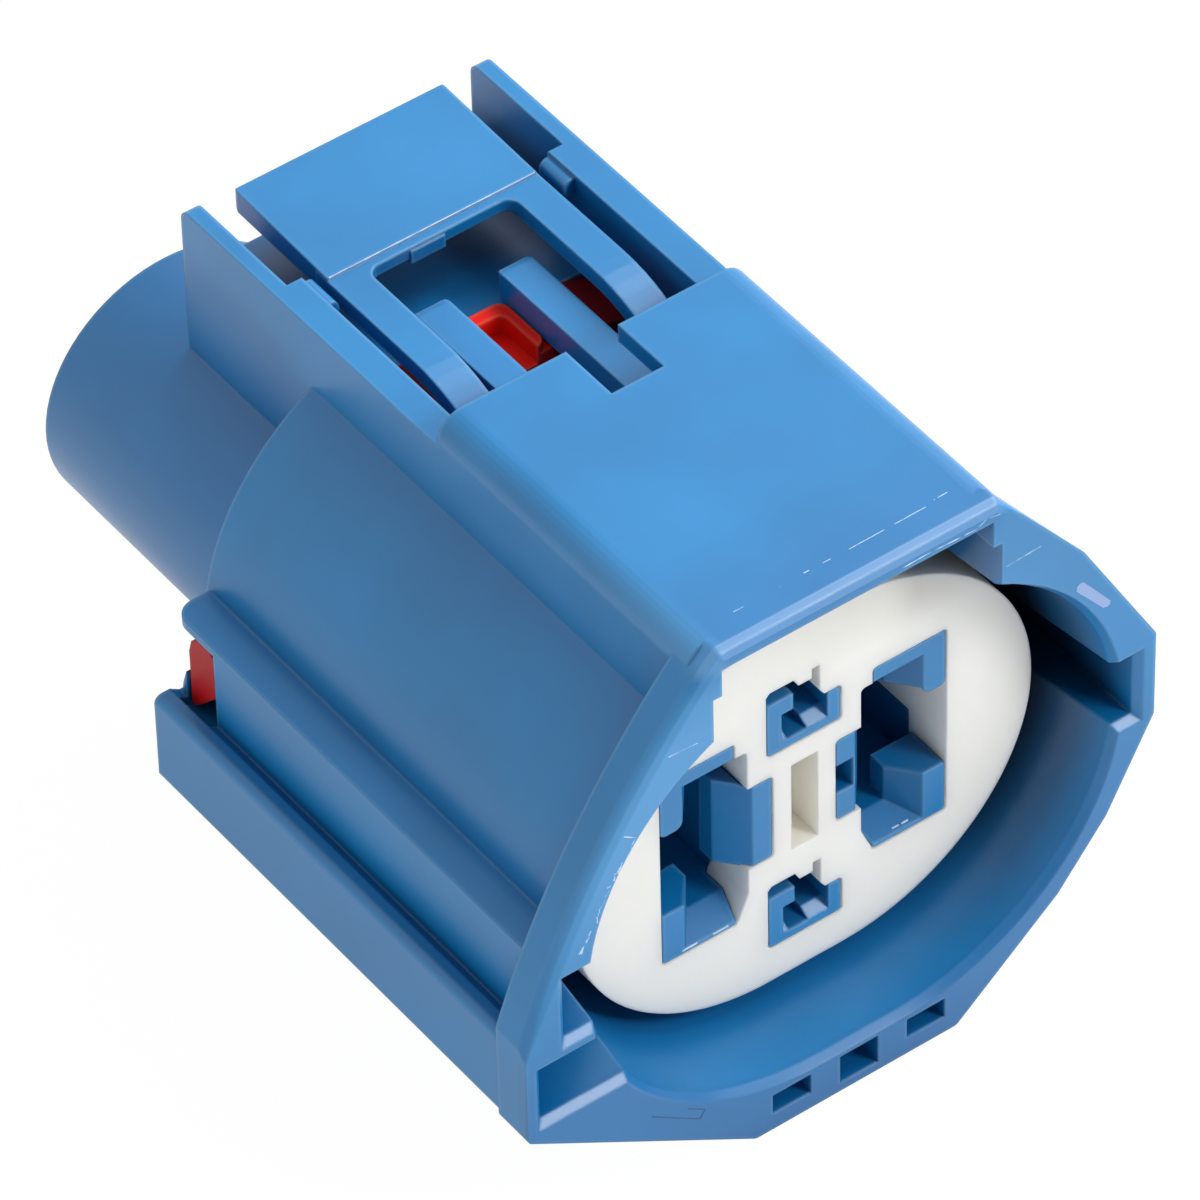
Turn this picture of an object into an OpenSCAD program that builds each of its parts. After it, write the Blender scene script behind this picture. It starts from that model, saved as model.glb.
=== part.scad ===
// Sealed four-way cable connector housing with two blade cavities and two pin cavities.
// The mating axis runs along Y: the rim of the socket lies at y = 0, cables leave at +Y, +Z is up.

/* [Mating socket] */
// Half distance between the two end centres of every oval
oval_half = 2.4; // [1.8:0.1:3]
// End radius of the front retainer's oval
retainer_r = 12.4; // [12.2:0.1:13]
// Gap around the retainer for the wall of the mating header
socket_gap = 1.4; // [1:0.1:1.8]
// Wall of the outer shroud
shroud_wall = 1.0; // [0.9:0.1:1.4]
// Length of the shroud from the rim to its rear face
shroud_l = 33.5; // [32.5:0.5:36]
// Thickness of the rear bulkhead of the shroud
bulkhead_t = 1.2; // [0.8:0.1:2]
// Recess of the retainer's face behind the rim
face_recess = 4.55; // [4.2:0.05:6]
// Widening of the socket mouth just behind the rim
mouth_flare = 0.7; // [0.4:0.05:0.8]
// Bevel of the socket mouth at the rim
mouth_bevel = 0.6; // [0.3:0.05:0.7]

/* [Rim flange] */
// Thickness of the rim flange
flange_t = 2.5; // [2:0.1:3.5]
// Height of the foot below the shroud
foot_h = 2.8; // [2.6:0.1:4]
// Width of the flat foot
foot_w = 13.2; // [12.6:0.1:15]
// Reach of the flange beyond the shroud on the right
rim_right = 2.15; // [1.9:0.05:2.6]
// Reach of the flange beyond the shroud on the left
rim_left = 4; // [3.7:0.05:4.5]
// Radius of the curved left shoulder
shoulder_r = 56; // [48:1:70]
// Reach of the left shoulder beyond the shroud
rim_shoulder = 1.7; // [1.4:0.05:2.2]
// Rounding of the front edge of the rim above the keyways
rim_edge = 0.6; // [0.3:0.05:0.7]
// Rounding of the outline's corners
rim_round = 0.5; // [0.3:0.1:1]
// Width of the three mould pockets below the socket
pocket_w = 2.5; // [1.5:0.1:3]
// Spacing of the three mould pockets
pocket_pitch = 4.4; // [3.8:0.1:5]
// Depth of the three mould pockets
pocket_d = 1.8; // [0.5:0.1:1.9]

/* [Keyways] */
// Height of the upper keyways on both sides
key_h = 4.6; // [3.8:0.1:4.8]
// Depth of the right keyway beyond the socket bore
key_right_d = 1.95; // [1.6:0.05:2]
// Depth of the upper left keyway beyond the socket bore
key_left_d = 2.3; // [2:0.05:2.4]
// Chamfer round the mouths of the keyways
key_flare = 0.45; // [0.2:0.05:0.5]
// Level of the middle of the right keyway
key_right_z = 0.35; // [0:0.05:0.5]
// Level of the middle of the upper left keyway
key_left_z = -0.2; // [-0.4:0.05:0]
// Height of the lower left keyway
low_key_h = 4.15; // [3.4:0.05:4.3]
// Wall around the keyways
key_wall = 0.8; // [0.6:0.05:0.9]
// Thickness of the roof over the gaps in the side walls
rail_h = 0.55; // [0.5:0.05:0.8]
// Length of the gaps in the side walls where the secondary lock shows
side_gap = 2.65; // [2:0.05:3]

/* [Latch channel] */
// Height of the cover above the shroud
cover_h = 4.2; // [4:0.1:5]
// Length of the cover from the rim
cover_l = 22.2; // [20:0.1:24]
// Thickness of the cover
cover_t = 1.15; // [0.8:0.05:1.3]
// Rounding of the cover's long edges
cover_round = 1.6; // [1.2:0.1:2.4]
// Width of the notch in the cover's rear edge
notch_w = 3.3; // [2.8:0.1:3.6]
// Depth of the notch in the cover's rear edge
notch_d = 3.9; // [2.5:0.1:5]
// Distance of the guard walls' rear ends from the rim
guard_l = 44.9; // [43:0.1:46]
// Drop of the guard walls below the cover
guard_drop = 1.9; // [1.5:0.1:2.2]
// Thickness of the guard walls beside the latch arms
guard_t = 1.9; // [1.6:0.05:2.4]
// Thickness of the guard walls beside the thumb pad
guard_thin = 0.95; // [0.7:0.05:1.2]
// Thickness of the channel floor behind the shroud
floor_t = 1.2; // [0.8:0.1:1.8]
// Top of the channel floor above the mating axis
floor_z = 12.4; // [11.8:0.1:12.6]
// Width of one rib under the latch
rib_w = 2.05; // [1.6:0.05:2.4]
// Height of one rib under the latch
rib_t = 1.9; // [1.4:0.1:2]

/* [Latch] */
// Width of the thumb pad
pad_w = 13.4; // [11:0.1:13.8]
// Length of the thumb pad
pad_l = 8.6; // [6.5:0.1:8.8]
// Thickness of the thumb pad
pad_t = 1.5; // [1.2:0.1:1.8]
// Outer width of the two latch arms
latch_w = 13.5; // [12.4:0.1:14.5]
// Width of one latch arm
arm_w = 2.1; // [1.6:0.05:2.6]
// Thickness of the latch arms
arm_t = 1.1; // [0.9:0.1:1.3]
// Gap between the latch arms and the guard walls
latch_gap = 1.15; // [0.8:0.05:1.4]
// Radius of the bend where the arms dip to their root
arm_bend = 10; // [8:0.5:12]
// Distance behind the cover at which the arms begin to dip
dip_l = 6.3; // [5.6:0.1:7]

/* [Terminal cavities] */
// Distance of each blade slot from the middle
blade_x = 5.55; // [5.4:0.05:5.7]
// Width of a blade slot
blade_t = 1.7; // [1.3:0.05:1.9]
// Distance of the middle of each blade window from the mating axis
window_x = 6.45; // [6.4:0.05:6.6]
// Width of a blade window
window_w = 5.6; // [5.3:0.05:5.7]
// Height of a blade window
window_h = 13.3; // [12.6:0.1:13.4]
// Depth of the tower's front wall round the slots
front_t = 2.8; // [2.2:0.1:3]
// Depth of the sloped lead-in of a slot
lead_d = 1.65; // [1:0.05:2]
// Height of the posts between the windows
post_h = 5.95; // [5:0.05:6.4]
// Width of a pin window
pin_window_w = 4.85; // [4.5:0.05:5.1]
// Height of a pin window
pin_window_h = 4.65; // [4.4:0.05:4.8]
// Level of the lower edge of the upper pin window
pin_level = 4.05; // [3.9:0.05:4.2]
// Distance between the two pin windows, one above the other
pin_pitch = 14.1; // [13.9:0.05:14.3]
// Width of a pin cavity
pin_w = 2.5; // [2:0.1:2.8]
// Thickness of the retainer's face
retainer_t = 3.2; // [3:0.05:3.6]
// Thickness of the retainer's skirt
skirt_t = 1.1; // [0.8:0.05:1.3]
// Length of the retainer
retainer_l = 6; // [5.4:0.1:7]
// Play between the retainer, the lock and the tower
fit = 0.1; // [0.05:0.01:0.15]

/* [Cable side] */
// Half distance between the two cable sleeves
sleeve_x = 7.05; // [7:0.05:7.4]
// Drop of the sleeves below the mating axis
sleeve_drop = 0.6; // [0.3:0.1:0.9]
// Radius of the wire seal bore in a sleeve
wire_r = 6.4; // [6.2:0.05:6.6]
// Wall of a sleeve
sleeve_wall = 1.85; // [1.2:0.05:2]
// Distance of the sleeves' rear ends from the rim
sleeve_end = 51; // [48:0.5:56]
// Radius of the wire bore behind a pin cavity
pin_bore_r = 1.6; // [1.3:0.05:1.6]
// Wall around a pin's wire bore
pin_bore_wall = 1.5; // [1:0.1:1.8]

/* [Seal and lock] */
// Length of the seal on the tower
seal_l = 6.6; // [5:0.1:7]
// Height of the seal's lips
lip_h = 0.35; // [0.2:0.05:0.5]
// Length of the secondary lock along the mating axis
lock_l = 4; // [3.6:0.1:5]
// Thickness of the secondary lock's arch
lock_t = 1.5; // [1.2:0.1:1.7]
// Height of the side wings of the secondary lock
wing_h = 5.25; // [4.6:0.05:5.4]

/* [Hidden] */
$fn = 72;

blue = "#3A78B8";
white = "#ECECE8";
red = "#C8201A";
grey = "#5C6670";

// Cutters reach this far past a surface, joined solids overlap by the sliver
past = 1;
sliver = 0.02;

// Radii of the nested ovals
bore_r = retainer_r + socket_gap;
shroud_r = bore_r + shroud_wall;
tower_r = retainer_r - skirt_t - fit;
root_r = tower_r + 0.8;
foot_z = -(shroud_r + foot_h);
top_z = shroud_r + cover_h;

// Stations along the mating axis
face_y = face_recess + fit / 2;
plate_y = face_recess + retainer_t;
slot_y = face_recess + front_t;
skirt_y = face_recess + retainer_l;
seal_y = skirt_y + fit;
root_y = seal_y + seal_l + fit;
bulkhead_y = shroud_l - bulkhead_t;
lock_y = bulkhead_y - lock_l;
side_y = bulkhead_y - side_gap;
mouth_y = 6;
channel_y = 14;

// Sides of the rim and of the side boxes
right_x = oval_half + shroud_r + rim_right;
left_x = oval_half + shroud_r + rim_left;
ledge = 0.85;
left_low = key_left_z - key_h / 2;
low_key_top = left_low - ledge;
low_key_low = low_key_top - low_key_h;
block_x = left_x - 0.3;
block_low = low_key_low - 0.85;
low_key_x = block_x - key_wall;
block_top = low_key_top + 0.65;
block_round = 0.5;
groove_d = 0.4;
rail_y = bulkhead_y + 0.95;
function key_x(side) = oval_half + bore_r + (side > 0 ? key_right_d : key_left_d);
function key_top(side) = (side > 0 ? key_right_z : key_left_z) + key_h / 2;
function side_x(side) = key_x(side) + key_wall;
function rail_top(side) = key_top(side) + 0.5;
function rail_low(side) = rail_top(side) - rail_h;

// Latch channel and latch
arm_out = latch_w / 2;
arm_in = arm_out - arm_w;
channel_half = arm_out + latch_gap;
box_half = channel_half + guard_t;
roof_z = top_z - cover_t;
roof_half = box_half - 1.25;
eaves_half = box_half - 0.7;
eaves_z = roof_z - 1.8;
guard_top = top_z - guard_drop;
rib_top = shroud_r + 0.25;
rib_in = notch_w / 2;
rib_out = rib_in + rib_w;
pad_y1 = guard_l - 0.2;
pad_y0 = pad_y1 - pad_l;
pad_top = guard_top - 0.05;
pad_tilt = 0.3;
frame_top = pad_top - pad_tilt - 0.12;
window_y = pad_y0 - 0.6;
step_y = pad_y0 + 0.7;
bend_y = cover_l + dip_l;

// Blade windows and slots
window_in = window_x - window_w / 2;
window_out = window_x + window_w / 2;
window_top = window_h / 2 - 0.2;
window_low = window_top - window_h;
slot_in = blade_x - blade_t / 2;
slot_out = blade_x + blade_t / 2;
post_x = 2;
post_top = post_h / 2 - 0.3;
post_low = post_top - post_h;
mouth_in = window_in - 0.35;
mouth_out = window_out - 1.5;
bar_low = post_top - 0.2;
cavity_top = window_top - 1.4;
cavity_low = window_low + 1.2;

// Pin windows, their cavities and bores
pin_z = [pin_level, pin_level - pin_pitch];
pin_half = pin_window_w / 2;
pin_sill = 0.65;
pin_axis = 2.35;
sleeve_r = wire_r + sleeve_wall;

// Wings and crown of the secondary lock
function wing_top(side) = rail_low(side) - 0.15;
function wing_low(side) = wing_top(side) - wing_h;
crown_top = rib_top - 1.7;
tray_z = tower_r + fit + 0.8;

// An outline in the XZ plane runs along Y
module run(y0, y1) translate([0, y1, 0]) rotate([90, 0, 0]) linear_extrude(y1 - y0) children();

// An outline in the YZ plane runs along X
module across(x0, x1) translate([x0, 0, 0]) rotate([90, 0, 90]) linear_extrude(x1 - x0) children();

// An outline in the XY plane rises along Z
module rise(z0, z1) translate([0, 0, z0]) linear_extrude(z1 - z0) children();

module both_sides() {
    children();
    mirror([1, 0, 0]) children();
}

// Builds a child made for the right on either side
module on_side(side) {
    if (side > 0)
        children();
    else
        mirror([1, 0, 0]) children();
}

module rounded(r) offset(r, $fn = 32) offset(-r) children();

module span(x0, z0, x1, z1) translate([min(x0, x1), z0]) square([abs(x1 - x0), z1 - z0]);

module oval(r) {
    for (s = [-1, 1])
        translate([s * oval_half, 0]) circle(r);
    square([2 * oval_half, 2 * r], center = true);
}

module oval_ring(r_in, r_out) {
    difference() {
        oval(r_out);
        oval(r_in);
    }
}

// Oval cutter that narrows from one radius to another
module oval_cone(y0, r0, y1, r1) {
    for (s = [-1, 1])
        translate([s * oval_half, y0, 0]) rotate([-90, 0, 0]) cylinder(r1 = r0, r2 = r1, h = y1 - y0);
    across(-oval_half, oval_half) polygon([[y0, -r0], [y1, -r1], [y1, r1], [y0, r0]]);
}

// Rim outline: a large shoulder arc at the left, a kinked brow at the right, a keel of straight edges below
module left_shoulder() {
    reach = shoulder_r - shroud_r - rim_shoulder;
    lean = 29.8;
    translate([reach * cos(lean) - oval_half, -reach * sin(lean)]) circle(shoulder_r, $fn = 240);
}

module rim_outline() {
    knee_r = shroud_r + 1.25;
    foot_shift = 0.15;
    rounded(rim_round) intersection() {
        left_shoulder();
        polygon(concat(
            [[-left_x, top_z], [right_x - 10.3, top_z], [right_x - 4.9, top_z - 6.75]],
            [[right_x, key_top(1) + 0.9], [right_x, left_low + 0.2]],
            [for (knee = [30, 48]) [oval_half + knee_r * cos(knee), -knee_r * sin(knee)]],
            [[foot_w / 2 - foot_shift, foot_z], [-foot_w / 2 - foot_shift, foot_z], [-left_x, block_low]]
        ));
    }
}

// The rim's front edge is rounded in two flats at the top and upper left, and sharp elsewhere;
// the plate tapers to the rear at the brow
module rim_plate() {
    first = 0.3 * rim_edge;
    brow_x = oval_half + 6.6;
    hull() {
        for (sharp = [[-left_x - past, left_low], [brow_x, top_z - 1.5]])
            run(0, sliver) intersection() {
                rim_outline();
                span(sharp[0], foot_z - past, right_x + past, sharp[1]);
            }
        run(0, sliver) offset(delta = -rim_edge) rim_outline();
        for (ring = [[first, first + sliver, first], [rim_edge, flange_t / 2, 0]])
            run(ring[0], ring[1]) intersection() {
                offset(delta = -ring[2]) rim_outline();
                span(-left_x - past, left_low, brow_x, top_z + past);
            }
        run(flange_t - sliver, flange_t) intersection() {
            rim_outline();
            translate([-0.45, -0.25]) rim_outline();
        }
    }
}

// Side boxes hold the keyways; their roof runs on over the gap, and a low stub stands behind it
module side_box(side) {
    wall_x = side_x(side);
    foot = block_top - groove_d - sliver;
    on_side(side) {
        run(flange_t / 2, side_y) span(0, foot, wall_x, rail_top(side));
        across(0, wall_x) polygon([
            [bulkhead_y - sliver, foot], [bulkhead_y + 0.5, foot], [bulkhead_y + 0.35, block_top + 0.5],
            [bulkhead_y - sliver, block_top + 1.6]
        ]);
        rise(rail_low(side), rail_top(side)) rounded(1.2)
            translate([0, side_y - 2 * past]) square([wall_x, rail_y - side_y + 2 * past]);
    }
}

// The left box steps out round the lower keyway, with a shallow groove along its upper wall
module left_block() {
    groove_x = side_x(-1) + 0.6;
    run(flange_t / 2, shroud_l - 0.4) difference() {
        rounded(block_round) span(-block_x, block_low - 2 * block_round, -oval_half, block_top);
        span(-block_x, block_low - 3 * block_round, 0, block_low);
        polygon([
            [-groove_x, block_top + past], [-groove_x, block_top], [-side_x(-1), block_top - groove_d],
            [past, block_top - groove_d], [past, block_top + past]
        ]);
    }
}

module cover_outline() {
    intersection() {
        rounded(cover_round) span(-box_half, -2 * cover_round, box_half, top_z);
        span(-box_half, 0, box_half, top_z);
    }
}

// Guard wall beside the latch, its rear top corner rounded
module guard_wall(x0, x1, y1, round_r) {
    across(x0, x1) intersection() {
        rounded(round_r) span(cover_l - 4 * past, 0, y1, guard_top);
        span(cover_l - past, floor_z - floor_t, y1, guard_top);
    }
}

module outer_shell() {
    rim_plate();
    run(flange_t / 2, shroud_l) oval(shroud_r);
    run(flange_t / 2, cover_l) cover_outline();
    both_sides() guard_wall(channel_half, box_half, step_y, 0.2);
    side_box(1);
    side_box(-1);
    left_block();
}

// Keyways start at the rim with a chamfer and end short of the lock
module keyway(side, x, z0, z1) {
    on_side(side) {
        run(-past, lock_y - past) span(oval_half, z0, x, z1);
        hull() {
            run(-past / 2, 0) span(oval_half, z0 - key_flare, x + key_flare, z1 + key_flare / 2);
            run(0, key_flare) span(oval_half, z0, x, z1);
        }
    }
}

// The latch channel opens into the socket at the front and to the sky behind the cover
module channel_outline() {
    span(-roof_half, 0, roof_half, roof_z);
    span(-eaves_half, 0, eaves_half, eaves_z);
}

module channel() {
    run(-past, channel_y) channel_outline();
    run(channel_y - sliver, cover_l + past) difference() {
        channel_outline();
        oval(shroud_r);
    }
    run(cover_l, bulkhead_y) span(-channel_half, shroud_r / 2, channel_half, top_z + past);
    run(bulkhead_y - past, shroud_l + past) span(-channel_half, floor_z, channel_half, top_z + past);
    rise(shroud_r / 2, top_z + past)
        translate([-notch_w / 2, cover_l - notch_d]) square([notch_w, notch_d + past]);
}

// The middle pocket is taller than its neighbours
module mould_pockets() {
    pocket_z = foot_z + 1.85;
    pocket_h = 1.4;
    for (i = [-1 : 1])
        run(-past, pocket_d)
            translate([i * pocket_pitch, pocket_z - (i == 0 ? 0.25 : 0)])
                square([pocket_w, pocket_h + (i == 0 ? 0.6 : 0)], center = true);
}

// The wings of the secondary lock reach the outside through these gaps
module wing_gaps() {
    for (side = [-1, 1])
        on_side(side) across(oval_half, side_x(side) + 0.55)
            rounded(0.4) span(side_y - sliver, wing_low(side) - 0.3, bulkhead_y, rail_low(side));
}

module socket() {
    run(mouth_y - sliver, bulkhead_y) oval(bore_r);
    oval_cone(0, bore_r + mouth_flare + sliver, mouth_y, bore_r);
    oval_cone(-sliver, bore_r + mouth_flare + mouth_bevel / 2, mouth_bevel, bore_r + mouth_flare - 0.1);
    keyway(1, key_x(1), key_top(1) - key_h, key_top(1));
    keyway(-1, key_x(-1), left_low, key_top(-1));
    keyway(-1, low_key_x, low_key_low, low_key_top - key_flare / 2);
    channel();
    mould_pockets();
    wing_gaps();
}

// Window in the retainer's face for one blade, with the slot of its post
module blade_window() {
    rounded(0.3) polygon([
        [window_in + 0.75, window_top], [window_out, window_top], [window_out, window_low],
        [window_in + 0.8, window_low], [window_in, window_low + 1.9], [window_in, post_low],
        [post_x, post_low], [post_x, post_top], [window_in, post_top],
        [window_in, window_top - 1.05], [window_in + 0.75, window_top - 1.05]
    ]);
}

// Window for one pin, with a tongue and a slit in its upper edge
module pin_window() {
    h = pin_window_h;
    polygon([
        [-pin_half, 0.25], [-pin_half + 0.25, 0], [pin_half - 0.2, 0], [pin_half, 0.2],
        [pin_half, h / 2], [pin_half - 0.2, h / 2 + 0.2], [1.3, h / 2 + 0.2],
        [1.02, h / 2 + 0.6], [1.02, h + 0.1], [0.52, h + 0.1], [0.5, h - 0.55],
        [-0.35, h - 0.55], [-0.65, h], [-pin_half + 0.25, h], [-pin_half, h - 0.25]
    ]);
}

// Front wall of the tower inside one blade window: post, two outer bars, sill and lintel,
// all sloping in to the narrow slot
module slot_walls() {
    joint_y = plate_y + past;
    lead_y = face_y + lead_d;
    bar_round = 0.5;
    intersection() {
        run(face_y, joint_y) offset(delta = -fit) blade_window();
        union() {
            rise(post_low, post_top) polygon([
                [0, face_y], [mouth_in, face_y], [slot_in, lead_y], [slot_in, slot_y], [window_in, slot_y],
                [window_in, joint_y], [0, joint_y]
            ]);
            for (z = [[window_low, post_low], [bar_low + bar_round, window_top]])
                rise(z[0], z[1]) polygon([
                    [window_out, face_y], [mouth_out, face_y], [slot_out, lead_y],
                    [slot_out, slot_y], [window_out, slot_y]
                ]);
            run(face_y, slot_y) rounded(bar_round)
                span(mouth_out, bar_low, window_out, window_top + past);
            across(0, window_out) polygon([
                [face_y, window_low], [face_y, window_low + 0.3], [lead_y, cavity_low], [joint_y, cavity_low],
                [joint_y, window_low]
            ]);
            across(0, window_out) polygon([
                [face_y, window_top], [face_y, window_top - 1.05], [lead_y, cavity_top],
                [joint_y, cavity_top], [joint_y, window_top]
            ]);
        }
    }
}

// Frame of the tower inside one pin window, with two ramps on its sill
module pin_frame() {
    difference() {
        run(face_y, plate_y + past) offset(delta = -fit) pin_window();
        run(face_y - past, slot_y) span(-1.4, pin_sill, 1.55, pin_axis + 0.25);
        run(face_y - past, plate_y + 2 * past) span(-0.65, pin_sill + 0.6, 1.2, pin_window_h + past);
        run(face_y - past, slot_y) span(-pin_half, pin_window_h - 0.95, 0, pin_window_h + past);
    }
    for (x = [[-1.4, -1.05], [0.2, 1.55]])
        across(x[0], x[1]) polygon([
            [face_y, pin_sill - past / 2], [face_y, pin_sill], [face_y + 0.65, pin_sill + 0.5],
            [slot_y, pin_sill + 0.5], [slot_y, pin_sill - past / 2]
        ]);
}

module tower() {
    run(plate_y + fit, root_y) oval(tower_r);
    run(root_y - sliver, lock_y - fit) oval(root_r);
    run(lock_y - fit - sliver, bulkhead_y + sliver) oval(tower_r);
}

// Terminal cavities behind the front wall, and the pocket in the right post
module cavities() {
    both_sides()
        run(slot_y, shroud_l + past) span(window_in, cavity_low, window_out, cavity_top);
    for (z = pin_z)
        run(slot_y - sliver, shroud_l + past) translate([0, z])
            span(-pin_w / 2, pin_sill + 0.45, pin_w / 2, pin_window_h - 0.7);
}

module post_pocket()
    run(face_y - past, face_y + 1.2) span(post_x, -1.25, mouth_in - 0.1, 0.75);

// Tongues of the retainer lie along the outer walls of the blade cavities
module tongues(play) {
    both_sides()
        run(plate_y - sliver, skirt_y + 0.7 + play)
            span(window_out - play, -2 - play, window_out + 0.8 + play, cavity_top - 0.5 + play);
}

// Ribs that keep the latch off the lock, rounded at their free ends
module ribs() {
    y0 = cover_l - notch_d - past;
    y1 = shroud_l - 0.3;
    both_sides() intersection() {
        across(rib_in, rib_out) intersection() {
            rounded(0.9) span(y0 - 2 * past, rib_top - 2 * rib_t, y1, rib_top);
            span(y0, rib_top - rib_t, y1, rib_top);
        }
        rise(rib_top - rib_t, rib_top) rounded(0.8)
            translate([rib_in, y0 - past]) square([rib_w, y1 - y0 + past]);
    }
}

// One arm in side view: straight behind, then bending down to its root on the shroud
function bend(z, r) = [for (a = [0 : 5 : 25]) [bend_y - r * sin(a), z - arm_bend + r * cos(a)]];
function reversed(list) = [for (i = [len(list) - 1 : -1 : 0]) list[i]];

module arm_outline() {
    drop = 3.2;
    root = bend(frame_top, arm_bend)[5];
    low = bend(frame_top, arm_bend - arm_t)[5];
    polygon(concat(
        [[pad_y0 + past, frame_top]], bend(frame_top, arm_bend),
        [[root[0] - drop, root[1] - drop * tan(25)], [low[0] - drop, low[1] - drop * tan(25)]],
        reversed(bend(frame_top, arm_bend - arm_t)), [[pad_y0 + past, frame_top - arm_t]]
    ));
}

module pad_outline() {
    polygon([
        [pad_y0, pad_top - pad_tilt], [pad_y1 - 0.3, pad_top], [pad_y1, pad_top - 0.3],
        [pad_y1, pad_top - pad_t + 0.4], [pad_y1 - 0.5, pad_top - pad_t],
        [pad_y0, pad_top - pad_tilt - pad_t + 0.2]
    ]);
}

// Cantilever latch: thumb pad, crossbar with a nib, two arms
module latch() {
    both_sides() across(arm_in, arm_out) arm_outline();
    rise(frame_top - 0.75, frame_top) difference() {
        translate([-arm_out, window_y - 0.8]) square([2 * arm_out, pad_y0 + past + 0.8 - window_y]);
        rounded(0.8) translate([-arm_in, window_y - 4 * past]) square([2 * arm_in, 4 * past]);
    }
    rise(frame_top - 1.05, frame_top - 0.2)
        translate([-1.9, window_y - 0.1]) square([2.2, past]);
    intersection() {
        across(-pad_w / 2, pad_w / 2) pad_outline();
        rise(floor_z, top_z) rounded(0.5)
            translate([-pad_w / 2, pad_y0 - past]) square([pad_w, pad_l + past]);
    }
}

// Rounded stops on the guard walls beside the latch arms
module stops() {
    both_sides()
        run(step_y - 2.4, step_y - 0.2)
            rounded(0.5) span(channel_half - 0.7, guard_top - 1.4, channel_half + past, guard_top - 0.25);
}

// Channel floor, guard walls, pin bosses and the two cable sleeves behind the shroud
module cable_side() {
    web = 0.6;
    run(shroud_l - 0.4, guard_l) {
        span(-box_half, floor_z - floor_t, box_half, floor_z);
        for (s = [-1, 1])
            span(s * (box_half - guard_thin), 0, s * box_half, floor_z);
        for (z = pin_z)
            translate([0, z + pin_axis]) circle(pin_bore_r + pin_bore_wall);
        span(-web, pin_z[1] + pin_axis, web, floor_z - floor_t / 2);
    }
    both_sides() {
        guard_wall(box_half - guard_thin, box_half, guard_l, 0.7);
        run(bulkhead_y, sleeve_end) translate([sleeve_x, -sleeve_drop]) circle(sleeve_r);
    }
}

module wire_bores() {
    both_sides()
        run(shroud_l, sleeve_end + past) translate([sleeve_x, -sleeve_drop]) circle(wire_r);
    for (z = pin_z)
        run(shroud_l, guard_l + past) translate([0, z + pin_axis]) circle(pin_bore_r);
}

module housing() {
    color(blue) difference() {
        union() {
            difference() {
                outer_shell();
                socket();
            }
            tower();
            both_sides() slot_walls();
            for (z = pin_z)
                translate([0, 0, z]) pin_frame();
            ribs();
            latch();
            stops();
            cable_side();
        }
        cavities();
        post_pocket();
        wire_bores();
        tongues(fit);
    }
}

module front_retainer() {
    color(white) difference() {
        union() {
            run(face_recess, plate_y) oval(retainer_r);
            run(plate_y - sliver, skirt_y) oval_ring(retainer_r - skirt_t, retainer_r);
            tongues(0);
        }
        both_sides() run(face_recess - past, plate_y + past) blade_window();
        for (z = pin_z)
            run(face_recess - past, plate_y + past) translate([0, z]) pin_window();
        run(face_recess - past, plate_y - 0.6) span(-0.85, post_low - 0.2, 0.85, post_top);
    }
}

// One wing in side view
module wing_outline(side) {
    y0 = side_y + fit;
    y1 = bulkhead_y - 0.25;
    top = wing_top(side);
    low = wing_low(side);
    polygon([
        [y0, top - 0.35], [y0 + 0.35, top], [y1 - 0.9, top], [y1 - 0.25, top - 0.5],
        [y1, top - 1.4], [y1, low], [y1 - 0.3, low], [y0, low + 2.1]
    ]);
}

// Yoke over the tower: an arch with a tray on its crown and a wing at each side
module secondary_lock() {
    wing_in = oval_half + tower_r + 0.6;
    crown_half = rib_in - fit;
    color(red) difference() {
        union() {
            run(lock_y, bulkhead_y) difference() {
                oval_ring(tower_r + fit, tower_r + fit + lock_t);
                span(-left_x, -left_x, left_x, wing_low(-1) - 1.5);
            }
            for (side = [-1, 1])
                on_side(side) across(wing_in, side_x(side) - fit) wing_outline(side);
            rise(tower_r, crown_top) rounded(0.7)
                translate([-crown_half, lock_y]) square([2 * crown_half, lock_l]);
        }
        rise(tray_z, top_z) rounded(0.5)
            translate([-rib_in - past, lock_y - past]) square([rib_in + past + 0.95, lock_l + past - 0.85]);
        run(lock_y - past, bulkhead_y + past) oval(tower_r + fit);
    }
}

module interface_seal() {
    color(grey) {
        run(seal_y, root_y - fit) oval_ring(tower_r, root_r);
        for (i = [0 : 2])
            translate([0, seal_y + seal_l * (0.5 + i) / 3, 0])
                run(-0.5, 0.5) oval_ring(root_r - sliver, root_r + lip_h);
    }
}

housing();
front_retainer();
secondary_lock();
interface_seal();
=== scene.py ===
import math
import random

import bmesh
import bpy
from mathutils import Matrix, Vector


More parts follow.
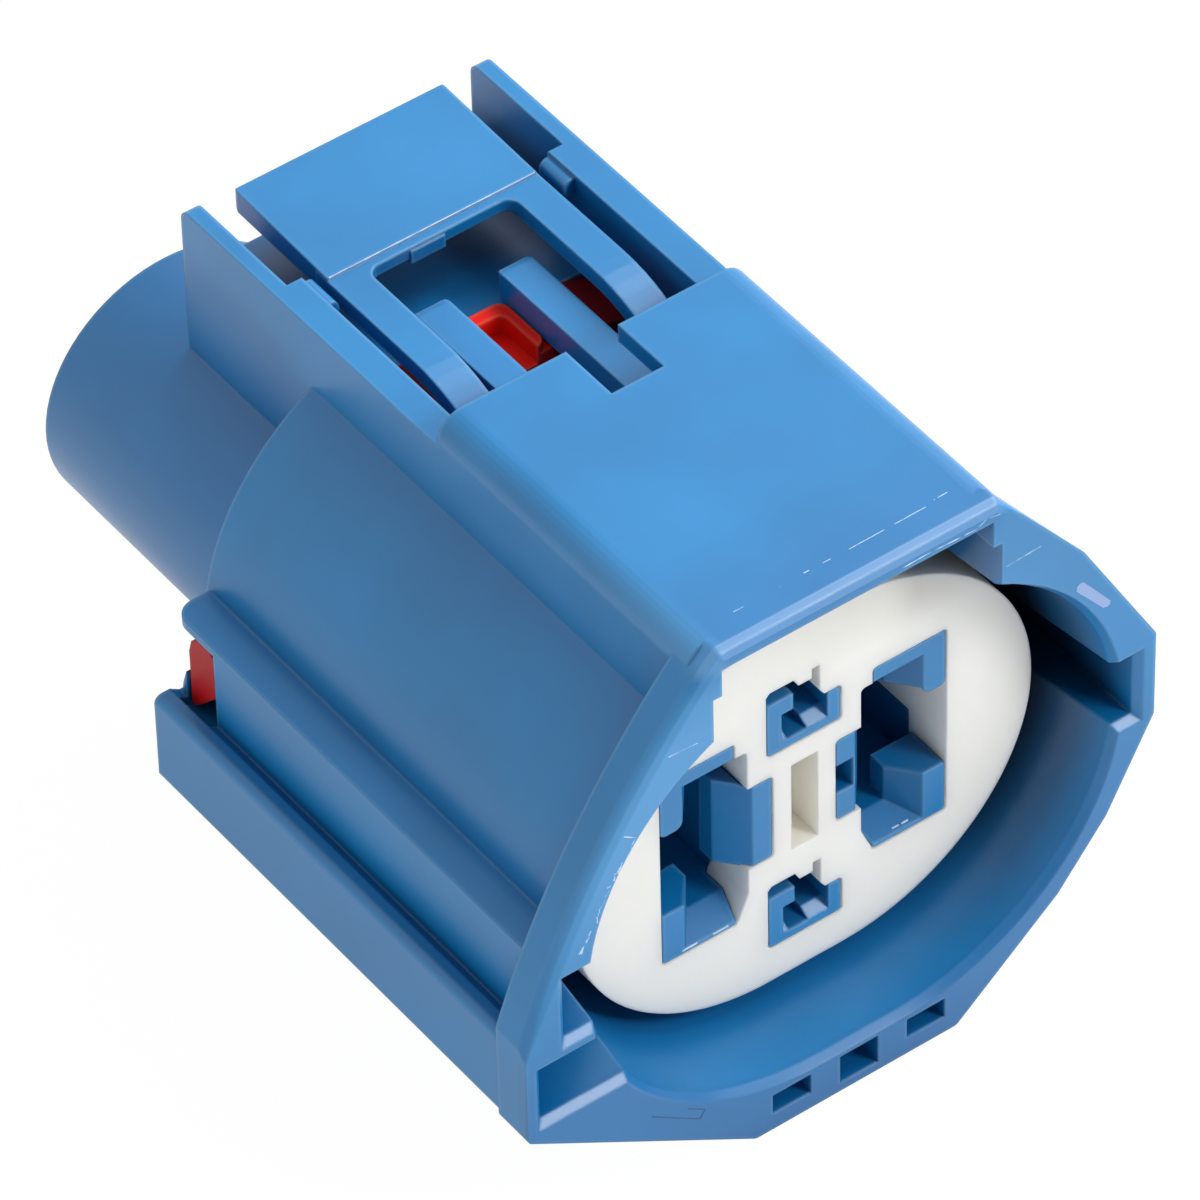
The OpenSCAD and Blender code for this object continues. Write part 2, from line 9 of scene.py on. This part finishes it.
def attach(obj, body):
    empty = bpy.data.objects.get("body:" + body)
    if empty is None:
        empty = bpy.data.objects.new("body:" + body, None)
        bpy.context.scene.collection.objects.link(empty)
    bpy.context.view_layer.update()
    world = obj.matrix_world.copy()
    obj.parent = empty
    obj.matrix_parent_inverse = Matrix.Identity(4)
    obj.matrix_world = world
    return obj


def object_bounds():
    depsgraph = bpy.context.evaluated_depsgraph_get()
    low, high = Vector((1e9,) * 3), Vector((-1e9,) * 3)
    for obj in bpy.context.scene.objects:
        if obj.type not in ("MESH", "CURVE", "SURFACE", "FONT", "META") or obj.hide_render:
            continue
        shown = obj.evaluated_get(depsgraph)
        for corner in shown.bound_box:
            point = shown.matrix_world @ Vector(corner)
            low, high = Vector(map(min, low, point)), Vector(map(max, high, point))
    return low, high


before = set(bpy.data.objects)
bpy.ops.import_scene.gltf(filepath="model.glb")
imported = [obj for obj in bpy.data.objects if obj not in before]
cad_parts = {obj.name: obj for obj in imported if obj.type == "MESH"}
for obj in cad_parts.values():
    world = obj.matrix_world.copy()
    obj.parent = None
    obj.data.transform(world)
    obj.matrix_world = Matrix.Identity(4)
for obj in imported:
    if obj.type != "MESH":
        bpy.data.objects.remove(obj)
cadLow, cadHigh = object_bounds()
scene = bpy.context.scene
mm = 0.001  # one millimetre in metres
print("frame loaded, nodes:", ", ".join(sorted(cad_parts)))

# the photograph's viewpoint, millimetres and degrees, for a square picture
viewpoint = {
    "azimuth": -35.645,
    "elevation": 44.547,
    "roll": -1.487,
    "distance": 522.18,
    "aim": (-1.491, 20.0, 2.895),
    "lens": 302.2,
    "sensor": 36,
    "clip": (0.01, 20),  # metres
}


def aimCamera(view):
    turn, rise, roll = (math.radians(view[key]) for key in ("azimuth", "elevation", "roll"))
    back = Vector((math.sin(turn) * math.cos(rise), -math.cos(turn) * math.cos(rise), math.sin(rise)))
    level = Vector((math.cos(turn), math.sin(turn), 0))
    upright = back.cross(level)
    right = math.cos(roll) * level + math.sin(roll) * upright
    up = math.cos(roll) * upright - math.sin(roll) * level
    data = bpy.data.cameras.new("productCamera")
    data.lens, data.sensor_width = view["lens"], view["sensor"]
    data.clip_start, data.clip_end = view["clip"]
    camera = bpy.data.objects.new("productCamera", data)
    scene.collection.objects.link(camera)
    place = Matrix((right, up, back)).transposed().to_4x4()
    place.translation = Vector(view["aim"]) * mm + back * view["distance"] * mm
    camera.matrix_world = place
    scene.camera = camera


aimCamera(viewpoint)
print("camera placed")


# an sRGB hex colour as linear red, green, blue and full alpha
def hexColour(code):
    parts = [int(code[start:start + 2], 16) / 255 for start in (1, 3, 5)]
    return tuple(
        part / 12.92 if part <= 0.04045 else ((part + 0.055) / 1.055) ** 2.4 for part in parts
    ) + (1.0,)


# adds one node with its settings, socket values and incoming links
def addNode(tree, kind, settings=None, values=None, links=None):
    made = tree.nodes.new(kind)
    for key, value in (settings or {}).items():
        setattr(made, key, value)
    for key, value in (values or {}).items():
        made.inputs[key].default_value = value
    for key, source in (links or {}).items():
        tree.links.new(source, made.inputs[key])
    return made


def newMaterial(name):
    material = bpy.data.materials.new(name)
    material.use_nodes = True
    material.node_tree.nodes.clear()
    return material, material.node_tree


# what every plastic's skin shares
skin = {
    "detail": 3.0,  # of the noises
    "driftRange": (0.3, 0.7),  # noise between these runs from the deep tone to the full one
    "foldRange": (0.92, 0.25),  # openness at which a fold begins, and at which it is full
    "edgeRange": (0.97, 0.55),  # the same for a corner, seen from inside the wall
    "foldSamples": 5,
    "edgeSamples": 4,
    "softSamples": 4,
    "bumpMm": 0.02,
    "milkSpread": (1.0, 0.9, 0.75),  # how far red, green and blue run into a milky plastic
}


# one recipe for the moulded plastics: a slow drift of tone, painted shade in folds, painted highlight on
# corners, tints by place, most of them painted light and shade, and fine grain
def mouldedPlastic(plastic):
    material, tree = newMaterial(plastic["name"])
    where = addNode(tree, "ShaderNodeTexCoord").outputs["Object"]
    drift = addNode(
        tree, "ShaderNodeTexNoise", links={"Vector": where},
        values={"Scale": 1000 / plastic["driftMm"], "Detail": skin["detail"]}).outputs["Fac"]
    tone = addNode(tree, "ShaderNodeValToRGB", links={"Fac": drift})
    codes = (plastic["deep"], plastic["colour"])
    for stop, position, code in zip(tone.color_ramp.elements, skin["driftRange"], codes):
        stop.position, stop.color = position, hexColour(code)
    colour = tone.outputs["Color"]

    # painted shade: each plastic's fold colour darkens the skin where its surroundings close in
    hollow = addNode(tree, "ShaderNodeAmbientOcclusion", {"samples": skin["foldSamples"]},
                     {"Distance": plastic["foldMm"] * mm})
    # painted highlight: each plastic's edge colour lightens the skin near its convex corners
    corner = addNode(tree, "ShaderNodeAmbientOcclusion",
                     {"samples": skin["edgeSamples"], "inside": True, "only_local": True},
                     {"Distance": plastic["edgeMm"] * mm})
    foldShadeMask, cornerHighlightMask = (
        addNode(tree, "ShaderNodeMapRange", links={"Value": openness.outputs["AO"]},
                values={"From Min": skin[key][0], "From Max": skin[key][1]}).outputs["Result"]
        for openness, key in ((hollow, "foldRange"), (corner, "edgeRange")))
    layers = [(plastic["fold"], plastic["foldShare"], [foldShadeMask]),
              (plastic["edge"], plastic["edgeShare"], [cornerHighlightMask])]

    # a tint fades in over ramps of place, in millimetres, and of the way the surface faces;
    # a ramp is an axis, where it starts, where it is full, and the least that it lets through
    place = addNode(tree, "ShaderNodeSeparateXYZ", links={"Vector": where})
    normal = addNode(tree, "ShaderNodeNewGeometry").outputs["Normal"]
    facing = addNode(tree, "ShaderNodeSeparateXYZ", links={"Vector": normal})
    for tint in plastic.get("tints", ()):
        masks = [foldShadeMask] if tint.get("inFolds") else []
        for axes, unit, ramps in ((place, mm, tint["ramps"]), (facing, 1, tint.get("facing", ()))):
            for axis, low, high, least in ramps:
                ramp = addNode(tree, "ShaderNodeMapRange", links={"Value": axes.outputs[axis]},
                               values={"From Min": low * unit, "From Max": high * unit, "To Min": least})
                masks.append(ramp.outputs["Result"])
        layers.append((tint["colour"], tint["share"], masks))
    for code, share, masks in layers:
        whole = addNode(tree, "ShaderNodeMath", {"operation": "MULTIPLY"}, {0: share}, {1: masks[0]})
        for mask in masks[1:]:
            whole = addNode(tree, "ShaderNodeMath", {"operation": "MULTIPLY"},
                            links={0: whole.outputs["Value"], 1: mask})
        colour = addNode(tree, "ShaderNodeMix", {"data_type": "RGBA"}, {"B": hexColour(code)},
                         {"Factor": whole.outputs["Value"], "A": colour}).outputs["Result"]

    soft = addNode(tree, "ShaderNodeBevel", {"samples": skin["softSamples"]},
                   {"Radius": plastic["softMm"] * mm})
    grain = addNode(tree, "ShaderNodeTexNoise", links={"Vector": where},
                    values={"Scale": 1000 / plastic["grainMm"], "Detail": skin["detail"]})
    relief = addNode(tree, "ShaderNodeBump",
                     values={"Strength": plastic["grain"], "Distance": skin["bumpMm"] * mm},
                     links={"Height": grain.outputs["Fac"], "Normal": soft.outputs["Normal"]})
    driftLow, driftHigh = skin["driftRange"]
    roughLow, roughHigh = plastic["rough"]
    polish = addNode(tree, "ShaderNodeMapRange", links={"Value": drift},
                     values={"From Min": driftLow, "From Max": driftHigh,
                             "To Min": roughLow, "To Max": roughHigh})
    values = {"IOR": plastic["ior"], "Specular IOR Level": plastic["shine"]}
    if "milk" in plastic:
        values["Subsurface Weight"] = plastic["milk"]
        values["Subsurface Radius"] = skin["milkSpread"]
        values["Subsurface Scale"] = plastic["milkMm"] * mm
    shader = addNode(tree, "ShaderNodeBsdfPrincipled", values=values,
                     links={"Base Color": colour, "Roughness": polish.outputs["Result"],
                            "Normal": relief.outputs["Normal"]})
    addNode(tree, "ShaderNodeOutputMaterial", links={"Surface": shader.outputs["BSDF"]})
    return material


# glass-filled polyester, moulded blue: satin skin, painted navy shade in its folds, painted highlight on
# its corners
bluePolyester = mouldedPlastic({
    "name": "bluePolyester", "colour": "#0C7EBE", "deep": "#0A74B0",
    "edge": "#6FB2E4", "edgeMm": 0.24, "edgeShare": 0.34, "softMm": 0.24,
    "fold": "#064A86", "foldMm": 5.0, "foldShare": 0.6,
    "driftMm": 9, "grainMm": 0.25, "grain": 0.12, "rough": (0.285, 0.34), "ior": 1.57, "shine": 0.5,
    "tints": [
        # painted light: the rim's lip is paler towards its upper left, and painted shade makes it deeper at
        # its foot
        {"colour": "#62AAE4", "share": 0.45,
         "ramps": [("Y", 0.9, 0.3, 0.0), ("Z", 0.0, 8.0, 0.0), ("Z", 18.5, 14.0, 0.3),
                   ("X", 16.0, -12.0, 0.15)]},
        {"colour": "#0A62A0", "share": 0.55,
         "ramps": [("Y", 0.9, 0.3, 0.0), ("Z", 1.0, -8.0, 0.0)]},
        # painted shade: the sleeves are a little deeper than the shroud
        {"colour": "#0A5A96", "share": 0.4,
         "ramps": [("Y", 33.5, 37.0, 0.0), ("Z", 15.0, 13.0, 0.0)]},
        # shade on the far wall of the mouth, nearly black in its folds
        {"colour": "#010F26", "share": 1.0, "inFolds": True,
         "ramps": [("X", 6.0, 12.0, 0.0), ("Y", 0.4, 3.0, 0.0), ("Y", 19.0, 15.0, 0.0),
                   ("Z", -14.0, -3.0, 0.0)]},
        {"colour": "#021B3A", "share": 0.5, "facing": [("X", 0.0, -0.95, 0.0)],
         "ramps": [("X", 5.0, 12.0, 0.0), ("Y", 0.6, 2.5, 0.0), ("Y", 19.0, 15.0, 0.0)]},
        # shade on the floor under the thumb pad
        {"colour": "#03203F", "share": 0.9, "inFolds": True,
         "ramps": [("Y", 34.5, 36.5, 0.0), ("Z", 15.5, 14.0, 0.0), ("Z", 11.0, 12.0, 0.0)]},
        # painted shade: the cover's front face is a little deeper than the lip
        {"colour": "#0A62A0", "share": 0.3,
         "ramps": [("Y", 0.9, 0.3, 0.0), ("Z", 16.5, 17.5, 0.0), ("X", 9.5, 8.5, 0.0)]},
        # painted shade: the cover's top is a little deeper towards its front
        {"colour": "#0A5C9A", "share": 0.35,
         "ramps": [("Y", 7.0, 1.0, 0.0), ("Z", 18.7, 18.95, 0.0)]},
        # painted highlight on the rounding between that face and the top
        {"colour": "#A8C8F2", "share": 0.3,
         "facing": [("Y", -0.2, -0.45, 0.0), ("Z", 0.2, 0.45, 0.0)],
         "ramps": [("X", 9.6, 8.8, 0.0), ("Z", 17.5, 18.0, 0.0), ("Y", 1.6, 1.0, 0.0)]},
        # painted highlight along the cover's left long edge, most of all at its front
        {"colour": "#62A8E0", "share": 0.4,
         "ramps": [("X", -8.0, -8.8, 0.0), ("X", -10.4, -9.5, 0.0), ("Z", 17.3, 18.2, 0.0),
                   ("Y", 13.0, 1.5, 0.0)]},
    ],
})
# the same polyester left natural white: chalky and a little milky, so light runs into its walls
whitePolyester = mouldedPlastic({
    "name": "whitePolyester", "colour": "#F7F5EE", "deep": "#F4F2EA",
    "edge": "#FAF9F5", "edgeMm": 0.25, "edgeShare": 0.4, "softMm": 0.2,
    "fold": "#EFE9DC", "foldMm": 4.0, "foldShare": 0.4,
    "driftMm": 9, "grainMm": 0.25, "grain": 0.10, "rough": (0.42, 0.5), "ior": 1.57, "shine": 0.5,
    "milk": 0.5, "milkMm": 2.2,
    "tints": [
        # shade where the white lies under the cover, a warm grey
        {"colour": "#8E887C", "share": 0.45,
         "ramps": [("Z", 8.0, 12.5, 0.0), ("X", -4.0, 7.0, 0.15)]},
    ],
})
# red polyester of the lock: clean and deep, with a painted highlight only along its corners
redPolyester = mouldedPlastic({
    "name": "redPolyester", "colour": "#FA1F10", "deep": "#EE190D",
    "edge": "#FF6248", "edgeMm": 0.3, "edgeShare": 0.5, "softMm": 0.2,
    "fold": "#A60808", "foldMm": 3.0, "foldShare": 0.15,
    "driftMm": 6, "grainMm": 0.25, "grain": 0.08, "rough": (0.36, 0.44), "ior": 1.45, "shine": 0.2,
    "tints": [
        # shade on the crown beside the ribs
        {"colour": "#4E0A10", "share": 0.85,
         "ramps": [("X", 2.8, 3.6, 0.0), ("X", 13.0, 11.0, 0.0), ("Z", 10.5, 11.5, 0.0)]},
        {"colour": "#4E0A10", "share": 0.85,
         "ramps": [("X", -2.8, -3.6, 0.0), ("X", -13.0, -11.0, 0.0), ("Z", 10.5, 11.5, 0.0)]},
        # painted shade: the wings beside the block are a deeper red than the tray
        {"colour": "#9E0807", "share": 0.85, "ramps": [("X", -12.0, -14.5, 0.0)]},
        {"colour": "#9E0807", "share": 0.85, "ramps": [("X", 12.0, 14.5, 0.0)]},
    ],
})
# oiled silicone of the seal: dull grey with a soft sheen
greySilicone = mouldedPlastic({
    "name": "greySilicone", "colour": "#5C6670", "deep": "#525B64",
    "edge": "#77828C", "edgeMm": 0.3, "edgeShare": 0.3, "softMm": 0.2,
    "fold": "#30363C", "foldMm": 3.0, "foldShare": 0.6,
    "driftMm": 5, "grainMm": 0.3, "grain": 0.10, "rough": (0.45, 0.55), "ior": 1.41, "shine": 0.5,
})
# thin flash of the blue polyester, stress-whitened: almost paper pale
paleFlash = mouldedPlastic({
    "name": "paleFlash", "colour": "#CFE3F6", "deep": "#9CC5EB",
    "edge": "#E2EFFB", "edgeMm": 0.03, "edgeShare": 0.4, "softMm": 0.02,
    "fold": "#7FB0DD", "foldMm": 1.0, "foldShare": 0.2,
    "driftMm": 0.8, "grainMm": 0.1, "grain": 0.10, "rough": (0.35, 0.45), "ior": 1.57, "shine": 0.5,
})
# deeper blue polyester, painted as the shade of a fine groove on a low bead: a duller skin
paintedGrooveShade = mouldedPlastic({
    "name": "paintedGrooveShade", "colour": "#0A5690", "deep": "#084A7E",
    "edge": "#3E7FB8", "edgeMm": 0.03, "edgeShare": 0.1, "softMm": 0.02,
    "fold": "#063A68", "foldMm": 1.0, "foldShare": 0.4,
    "driftMm": 1.5, "grainMm": 0.1, "grain": 0.10, "rough": (0.4, 0.5), "ior": 1.57, "shine": 0.5,
})
# blue polyester of the brow patch: finer grain, and a pale lavender that is a painted sheen
paintedSheenBlue = mouldedPlastic({
    "name": "paintedSheenBlue", "colour": "#8FAADA", "deep": "#84A1D4",
    "edge": "#A9C4EA", "edgeMm": 0.05, "edgeShare": 0.3, "softMm": 0.03,
    "fold": "#3E74B4", "foldMm": 1.0, "foldShare": 0.2,
    "driftMm": 8, "grainMm": 0.1, "grain": 0.06, "rough": (0.29, 0.33), "ior": 1.57, "shine": 0.5,
})
print("materials made")

for nodeName, material in (("housing", bluePolyester), ("front_retainer", whitePolyester),
                           ("secondary_lock", redPolyester), ("interface_seal", greySilicone)):
    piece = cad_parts[nodeName]
    piece.data.materials.clear()
    piece.data.materials.append(material)


# a bead's ring has this many sides, and its girth swells with a noise of this size
beadForm = {"sides": 6, "swellMm": 0.6, "swellRange": (0.3, 0.7)}


# Geometry Nodes: a bead along every stroke, its girth wandering as flash does
def beadTree(name, form):
    tree = bpy.data.node_groups.new(name, "GeometryNodeTree")
    tree.is_modifier = True
    face = tree.interface
    face.new_socket("Geometry", in_out="INPUT", socket_type="NodeSocketGeometry")
    for label, start in (("Girth", 0.05 * mm), ("Wander", 0.5), ("Step", 0.15 * mm), ("Seed", 1.0)):
        face.new_socket(label, in_out="INPUT", socket_type="NodeSocketFloat").default_value = start
    face.new_socket("Finish", in_out="INPUT", socket_type="NodeSocketMaterial")
    face.new_socket("Geometry", in_out="OUTPUT", socket_type="NodeSocketGeometry")
    given = addNode(tree, "NodeGroupInput").outputs
    line = addNode(tree, "GeometryNodeMeshToCurve", links={"Mesh": given["Geometry"]})
    even = addNode(tree, "GeometryNodeResampleCurve", {"mode": "LENGTH"},
                   links={"Curve": line.outputs["Curve"], "Length": given["Step"]})
    where = addNode(tree, "GeometryNodeInputPosition").outputs["Position"]
    wave = addNode(tree, "ShaderNodeTexNoise", {"noise_dimensions": "4D"},
                   {"Scale": 1000 / form["swellMm"]}, {"Vector": where, "W": given["Seed"]})
    least = addNode(tree, "ShaderNodeMath", {"operation": "SUBTRACT"}, {0: 1.0}, {1: given["Wander"]})
    low, high = form["swellRange"]
    swell = addNode(tree, "ShaderNodeMapRange", values={"From Min": low, "From Max": high, "To Max": 1.0},
                    links={"Value": wave.outputs["Fac"], "To Min": least.outputs["Value"]})
    ring = addNode(tree, "GeometryNodeCurvePrimitiveCircle", values={"Resolution": form["sides"]},
                   links={"Radius": given["Girth"]})
    bead = addNode(tree, "GeometryNodeCurveToMesh", values={"Fill Caps": True},
                   links={"Curve": even.outputs["Curve"], "Profile Curve": ring.outputs["Curve"],
                          "Scale": swell.outputs["Result"]})
    real = addNode(tree, "GeometryNodeRealizeInstances", links={"Geometry": bead.outputs["Mesh"]})
    done = addNode(tree, "GeometryNodeSetMaterial",
                   links={"Geometry": real.outputs["Geometry"], "Material": given["Finish"]})
    addNode(tree, "NodeGroupOutput", links={"Geometry": done.outputs["Geometry"]})
    return tree


# turns a list of strokes in millimetres into one plain bead mesh that rides on the root body
def layBeads(tree, bead):
    points, edges = [], []
    for stroke in bead["strokes"]:
        first = len(points)
        points += [Vector(at) * mm for at in stroke]
        edges += [(i, i + 1) for i in range(first, len(points) - 1)]
    path = bpy.data.meshes.new(bead["name"] + "Path")
    path.from_pydata(points, edges, [])
    carrier = bpy.data.objects.new(bead["name"] + "Path", path)
    scene.collection.objects.link(carrier)
    modifier = carrier.modifiers.new("beads", "NODES")
    modifier.node_group = tree
    wanted = {"Girth": bead["girthMm"] * mm, "Wander": bead["wander"], "Step": bead["stepMm"] * mm,
              "Seed": bead["seed"], "Finish": bead["finish"]}
    for socket in tree.interface.items_tree:
        if socket.in_out == "INPUT" and socket.name in wanted:
            modifier[socket.identifier] = wanted[socket.name]
    evaluated = carrier.evaluated_get(bpy.context.evaluated_depsgraph_get())
    mesh = bpy.data.meshes.new_from_object(evaluated)
    bpy.data.objects.remove(carrier)
    piece = bpy.data.objects.new(bead["name"], mesh)
    scene.collection.objects.link(piece)
    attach(piece, "root")


beads = beadTree("flashBead", beadForm)
sink = 0.03  # millimetres that a bead's axis lies under the skin, so a sliver of it shows
topZ = cadHigh.z / mm  # the cover's top is the highest place on the part
# the mould's parting line, broken, across the front of the cover
layBeads(beads, {
    "name": "partingFlash", "girthMm": 0.046, "wander": 0.45, "stepMm": 0.12, "seed": 3.0,
    "finish": paleFlash,
    "strokes": [[(x0, y0, topZ - sink), (x1, y1, topZ - sink)] for x0, y0, x1, y1 in (
        (-6.3, 1.99, -5.5, 1.97), (-3.4, 1.98, -3.1, 1.99), (-1.9, 2.03, -1.3, 2.03),
        (-0.7, 2.02, -0.2, 2.02), (0.7, 2.0, 5.8, 2.05), (6.1, 2.15, 6.5, 2.2),
        (6.7, 2.21, 7.3, 2.22), (7.5, 2.23, 8.15, 2.24))],
})
# a line of flash on the rim's face at each side of the cover
layBeads(beads, {
    "name": "rimFlash", "girthMm": 0.055, "wander": 0.55, "stepMm": 0.12, "seed": 7.0,
    "finish": paleFlash,
    "strokes": [[(x0, sink, z0), (x1, sink, z1)] for x0, z0, x1, z1 in (
        (9.4, 14.26, 11.6, 14.37), (-11.9, 13.83, -10.1, 13.7))],
})
# ragged flash along the cover's front face
layBeads(beads, {
    "name": "coverFlash", "girthMm": 0.06, "wander": 0.8, "stepMm": 0.08, "seed": 13.0,
    "finish": paleFlash,
    "strokes": [[(2.5, sink, 18.12), (4.3, sink, 18.18), (6.0, sink, 18.1), (7.5, sink, 18.04)],
                [(7.55, sink, 18.06), (8.05, sink, 18.36)],
                [(8.1, sink, 18.36), (8.95, sink, 18.2)]],
})
# pale slivers on the sills of the tall windows
layBeads(beads, {
    "name": "sillFlash", "girthMm": 0.09, "wander": 0.5, "stepMm": 0.08, "seed": 11.0,
    "finish": paleFlash,
    "strokes": [[(x0, y, z), (x1, y, z)] for x0, x1, y, z in (
        (-7.95, -6.95, 4.62, -6.55), (-5.95, -4.95, 4.62, -6.57),
        (5.9, 6.35, 4.86, -6.43), (6.5, 6.95, 4.85, -6.43))],
})
# specks of flash along the upper left lip of the mouth, each a short stroke roughly along it
lip = {
    "name": "lipFlash", "girthMm": 0.06, "wander": 0.6, "stepMm": 0.06, "seed": 5.0,
    "finish": paleFlash,
    "edge": [(-13.9, 9.5), (-14.65, 8.4), (-15.3, 7.5), (-15.95, 6.3), (-16.5, 5.25),
             (-17.1, 4.05), (-17.7, 3.1)],
    "specks": 34, "drawSeed": 4,
    "longMm": (0.12, 0.5), "astrayMm": 0.09, "sway": 0.35,  # sway in radians
    "strokes": [[(-14.75, sink, 9.95), (-14.1, sink, 9.5)]],
}
chance = random.Random(lip["drawSeed"])
for speck in range(lip["specks"]):
    along = chance.uniform(0, len(lip["edge"]) - 1.001)  # stays short of the last point
    (x0, z0), (x1, z1) = lip["edge"][int(along):int(along) + 2]
    heading = Vector((x1 - x0, 0, z1 - z0)).normalized()
    at = Vector((x0, sink, z0)).lerp(Vector((x1, sink, z1)), along % 1)
    at += Vector((-chance.uniform(0, lip["astrayMm"]), 0, chance.uniform(0, lip["astrayMm"])))
    heading.rotate(Matrix.Rotation(chance.gauss(0, lip["sway"]), 3, "Y"))
    lip["strokes"].append([at, at + heading * chance.uniform(*lip["longMm"])])
layBeads(beads, lip)
# fine outline on the lower left of the rim, a low bead in the deeper blue that is painted shade of an
# engraved line
layBeads(beads, {
    "name": "insertOutline", "girthMm": 0.06, "wander": 0.2, "stepMm": 0.15, "seed": 2.0,
    "finish": paintedGrooveShade,
    "strokes": [[(-13.4, sink, -11.49), (-10.35, sink, -13.69), (-10.01, sink, -13.18),
                 (-11.11, sink, -12.41)]],
})
# pale flash along the front of the thumb pad, also standing in as a painted highlight of that edge
layBeads(beads, {
    "name": "padEdge", "girthMm": 0.045, "wander": 0.7, "stepMm": 0.2, "seed": 9.0,
    "finish": paleFlash,
    "strokes": [[(-6.6, 36.13, 16.74), (6.6, 36.13, 16.74)]],
})
print("flash and outlines laid")


# smooth patch as a mould insert leaves it, a thin plate with rounded corners
def insertPatch(patch):
    shape = bmesh.new()
    corners = [shape.verts.new(Vector((x, -patch["proudMm"], z)) * mm) for x, z in patch["corners"]]
    shape.faces.new(corners)
    bmesh.ops.bevel(shape, geom=corners, offset=patch["roundMm"] * mm,
                    segments=patch["roundSteps"], affect="VERTICES")
    front = [vert.co.copy() for face in shape.faces for vert in face.verts]
    shape.free()
    back = [at + Vector((0, patch["deepMm"] * mm, 0)) for at in front]
    count = len(front)
    ends = [range(count), range(2 * count - 1, count - 1, -1)]
    sides = [((i + 1) % count, i, i + count, (i + 1) % count + count) for i in range(count)]
    mesh = bpy.data.meshes.new(patch["name"])
    mesh.from_pydata(front + back, [], ends + sides)
    mesh.materials.append(patch["finish"])
    piece = bpy.data.objects.new(patch["name"], mesh)
    scene.collection.objects.link(piece)
    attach(piece, "root")


# on the right brow of the rim; the patch's pale lavender is a painted sheen of that mark's sloped face
insertPatch({
    "name": "browPatch", "finish": paintedSheenBlue,
    "proudMm": 0.015, "deepMm": 0.2, "roundMm": 0.14, "roundSteps": 3,
    "corners": [(13.85, 9.9), (15.88, 7.36), (16.35, 7.59), (14.31, 10.31)],
})
print("insert patch set")

# studio in metres and watts: plain pale floor under the foot, white surround, two soft boxes
studio = {
    "floorHalf": 3.0,
    "floorGap": 0.0002,  # below the lowest point of the part
    "floorColour": "#F4F4F4",
    "floorWhite": 1.02,  # strength of the plain white that the camera and reflections see
    "floorGlow": (0.96, 0.5),  # share of that white for the camera, and in reflections
    "ambient": (0.2, 0.9),  # the room's light from before the mouth, and from behind the sleeves
    "mirror": (0.55, 1.15),  # the same in reflections
    "aim": (0, 0.02, 0),  # where both boxes point
    "keyBox": {"place": (0.353, -0.56, 0.53), "size": 0.24, "power": 3.5},
    "topBox": {"place": (0.64, 0.1, 0.6), "size": 0.7, "power": 6.7},
}


def softBox(room, name):
    box = room[name]
    data = bpy.data.lights.new(name, "AREA")
    data.shape, data.size, data.energy = "SQUARE", box["size"], box["power"]
    lamp = bpy.data.objects.new(name, data)
    scene.collection.objects.link(lamp)
    lamp.location = box["place"]
    lamp.rotation_euler = (Vector(room["aim"]) - lamp.location).to_track_quat("-Z", "Y").to_euler()


def layFloor(room):
    half = room["floorHalf"]
    level = cadLow.z - room["floorGap"]
    mesh = bpy.data.meshes.new("studioFloor")
    corners = [(x, y, level) for x, y in ((-half, -half), (half, -half), (half, half), (-half, half))]
    mesh.from_pydata(corners, [], [(0, 1, 2, 3)])
    floor = bpy.data.objects.new("studioFloor", mesh)
    scene.collection.objects.link(floor)
    material, tree = newMaterial("paleFloor")
    ray = addNode(tree, "ShaderNodeLightPath")
    paint = addNode(tree, "ShaderNodeBsdfDiffuse", values={"Color": hexColour(room["floorColour"])})
    white = addNode(tree, "ShaderNodeEmission",
                    values={"Color": (1, 1, 1, 1), "Strength": room["floorWhite"]})
    forCamera, inMirror = room["floorGlow"]
    mirrored = addNode(tree, "ShaderNodeMath", {"operation": "MULTIPLY"}, {1: inMirror},
                       {0: ray.outputs["Is Glossy Ray"]})
    share = addNode(tree, "ShaderNodeMath", {"operation": "MULTIPLY_ADD"}, {1: forCamera},
                    {0: ray.outputs["Is Camera Ray"], 2: mirrored.outputs["Value"]})
    both = addNode(tree, "ShaderNodeMixShader", links={
        0: share.outputs["Value"], 1: paint.outputs["BSDF"], 2: white.outputs["Emission"]})
    addNode(tree, "ShaderNodeOutputMaterial", links={"Surface": both.outputs["Shader"]})
    mesh.materials.append(material)


def paintWorld(room):
    world = bpy.data.worlds.new("whiteRoom")
    scene.world = world
    world.use_nodes = True
    tree = world.node_tree
    tree.nodes.clear()
    ray = addNode(tree, "ShaderNodeLightPath")
    way = addNode(tree, "ShaderNodeTexCoord").outputs["Generated"]
    heading = addNode(tree, "ShaderNodeSeparateXYZ", links={"Vector": way})
    # the room is dimmer before the mouth than behind the sleeves, for its light and in reflections
    glow, gloss = (
        addNode(tree, "ShaderNodeMapRange", links={"Value": heading.outputs["Y"]},
                values={"From Min": -1.0, "To Min": room[key][0], "To Max": room[key][1]}).outputs["Result"]
        for key in ("ambient", "mirror"))
    lit = addNode(tree, "ShaderNodeMapRange",
                  links={"Value": ray.outputs["Is Glossy Ray"], "To Min": glow, "To Max": gloss})
    seen = addNode(tree, "ShaderNodeMath", {"operation": "MAXIMUM"},
                   links={0: ray.outputs["Is Camera Ray"], 1: ray.outputs["Is Transmission Ray"]})
    level = addNode(tree, "ShaderNodeMapRange", values={"To Max": 1.0},
                    links={"Value": seen.outputs["Value"], "To Min": lit.outputs["Result"]})
    sky = addNode(tree, "ShaderNodeBackground", values={"Color": (1, 1, 1, 1)},
                  links={"Strength": level.outputs["Result"]})
    addNode(tree, "ShaderNodeOutputWorld", links={"Surface": sky.outputs["Background"]})


layFloor(studio)
paintWorld(studio)
softBox(studio, "keyBox")
softBox(studio, "topBox")
scene.view_settings.view_transform = "Standard"
print("studio lit")
